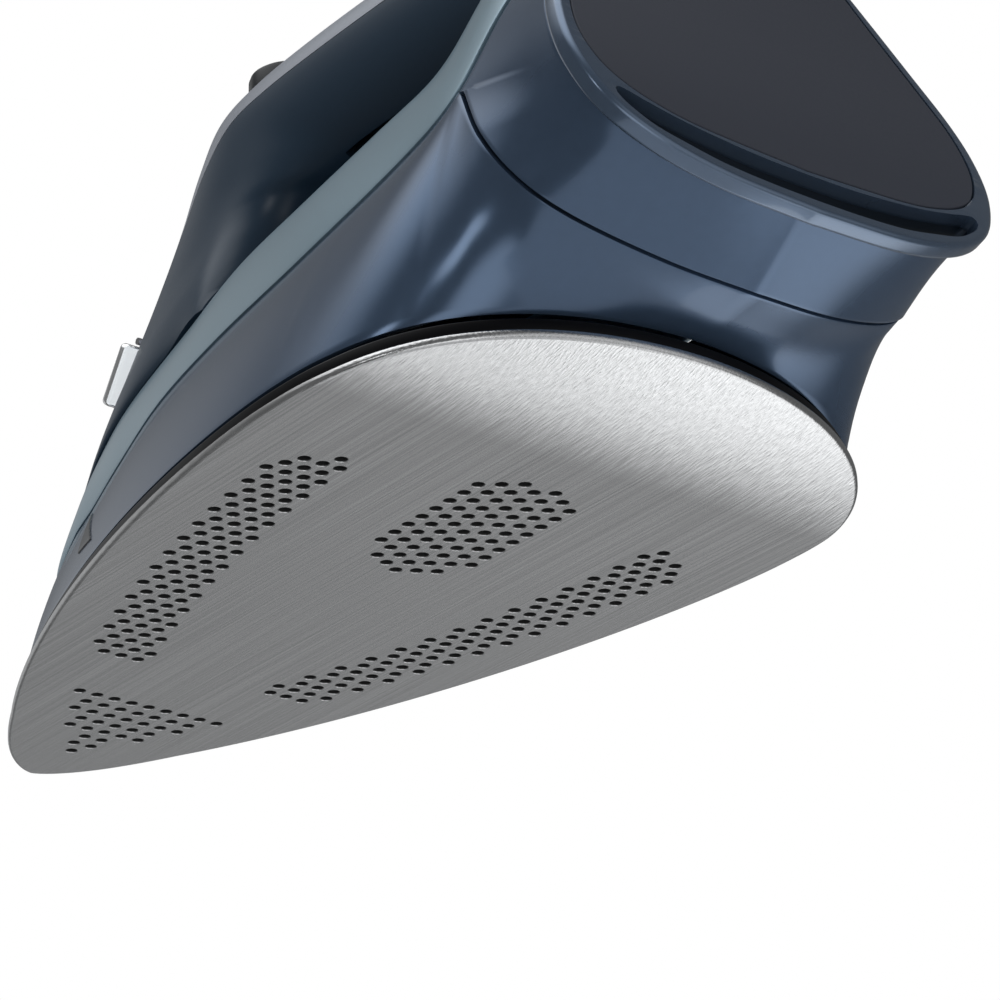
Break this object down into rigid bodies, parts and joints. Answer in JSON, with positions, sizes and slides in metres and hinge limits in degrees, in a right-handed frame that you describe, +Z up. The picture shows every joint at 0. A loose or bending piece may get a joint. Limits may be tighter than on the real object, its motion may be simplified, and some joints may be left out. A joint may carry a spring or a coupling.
{
  "type": "clothes iron",
  "caption": "Steam clothes iron: perforated steel sole curled up behind, glossy blue body, arched handle, wide heel to stand on.",
  "frame": {"origin": "on the flat of the sole, on the centre line, under the front end of the handle", "axes": "+X to the tip of the sole, +Y to the iron's left, +Z up through the handle"},
  "size_m": [0.2693, 0.1224, 0.1334],
  "materials": {
    "brushed_steel": "brushed along the iron's length, satin",
    "cast_aluminium": "as cast",
    "element_sheath": "oxidised sheath",
    "black_shield": "satin heat resistant moulding",
    "body_blue": "high gloss steel blue",
    "band_blue": "gloss pale blue",
    "handle_navy": "satin dark navy",
    "cover_grey": "satin pale grey",
    "heel_grey": "fine matt texture",
    "frame_blue": "gloss blue",
    "button_black": "satin black",
    "clear_plastic": "clear gloss",
    "tank_plastic": "translucent blue",
    "white_plastic": "natural moulding",
    "silicone": "matt silicone",
    "spring_steel": "bright wire",
    "brass": "machined",
    "lamp_amber": "clear amber"
  },
  "bodies": {
    "iron_body": {"sole_plate": "brushed_steel", "heater_casting": "cast_aluminium", "heating_element": "element_sheath", "chamber_gasket": "silicone", "chamber_lid": "cast_aluminium", "lid_screw_1": "spring_steel", "lid_screw_2": "spring_steel", "lid_screw_3": "spring_steel", "lid_screw_4": "spring_steel", "heat_shield": "black_shield", "lower_body": "body_blue", "rear_cover": "body_blue", "side_band": "band_blue", "deck_cover": "handle_navy", "handle_body": "handle_navy", "handle_top_cover": "cover_grey", "heel_frame": "frame_blue", "heel_panel": "heel_grey", "heel_slot_pad": "button_black", "rear_bracket": "white_plastic", "heel_screw_1": "spring_steel", "heel_screw_2": "spring_steel", "fill_port_gasket": "silicone", "fill_door_pin": "spring_steel", "spray_nozzle": "button_black", "nose_vent_left": "button_black", "nose_vent_right": "button_black", "spray_pump_barrel": "white_plastic", "spray_spring": "spring_steel", "trigger_spring": "spring_steel", "pilot_lamp_lens": "lamp_amber", "water_tank": "tank_plastic", "drip_valve_seat": "brass", "thermostat": "white_plastic", "thermal_fuse": "white_plastic", "terminal_block": "white_plastic"},
    "spray_button_body": {"spray_button": "button_black", "spray_piston": "white_plastic"},
    "steam_trigger_body": {"steam_trigger": "button_black"},
    "steam_selector_body": {"steam_selector": "button_black"},
    "valve_needle": {"valve_rod": "brass"},
    "temperature_dial_body": {"temperature_dial": "handle_navy", "dial_shaft": "spring_steel"},
    "fill_door_body": {"fill_door": "clear_plastic"},
    "cord_gland_body": {"cord_gland": "button_black"}
  },
  "joints": [
    {"name": "spray_button_press", "type": "slide", "parent": "iron_body", "child": "spray_button_body", "axis": [0, 0, -1], "range_m": [0, 0.00356], "stiffness_N_per_m": 400, "deforming": ["spray_spring"]},
    {"name": "steam_trigger_press", "type": "slide", "parent": "iron_body", "child": "steam_trigger_body", "axis": [0, 0, 1], "range_m": [0, 0.00314], "stiffness_N_per_m": 500, "springref_m": -0.001, "deforming": ["trigger_spring"]},
    {"name": "steam_selector_slide", "type": "slide", "parent": "iron_body", "child": "steam_selector_body", "axis": [1, 0, 0], "range_m": [0, 0.01256]},
    {"name": "valve_needle_lift", "type": "slide", "parent": "iron_body", "child": "valve_needle", "axis": [0, 0, 1], "range_m": [0, 0.00126]},
    {"name": "temperature_dial_turn", "type": "hinge", "parent": "iron_body", "child": "temperature_dial_body", "pos_m": [-0.04607, 0, 0.06282], "axis": [0, 0, 1], "range_deg": [0, 270]},
    {"name": "fill_door_hinge", "type": "hinge", "parent": "iron_body", "child": "fill_door_body", "pos_m": [0.06756, 0, 0.08202], "axis": [0, -1, 0], "range_deg": [0, 85]},
    {"name": "cord_gland_swivel", "type": "hinge", "parent": "iron_body", "child": "cord_gland_body", "pos_m": [-0.08795, 0, 0.11936], "axis": [0, 1, 0], "range_deg": [-14, 14]}
  ],
  "couplings": [
    {"joint": "valve_needle_lift", "follows": "steam_selector_slide", "ratio": 0.1}
  ]
}
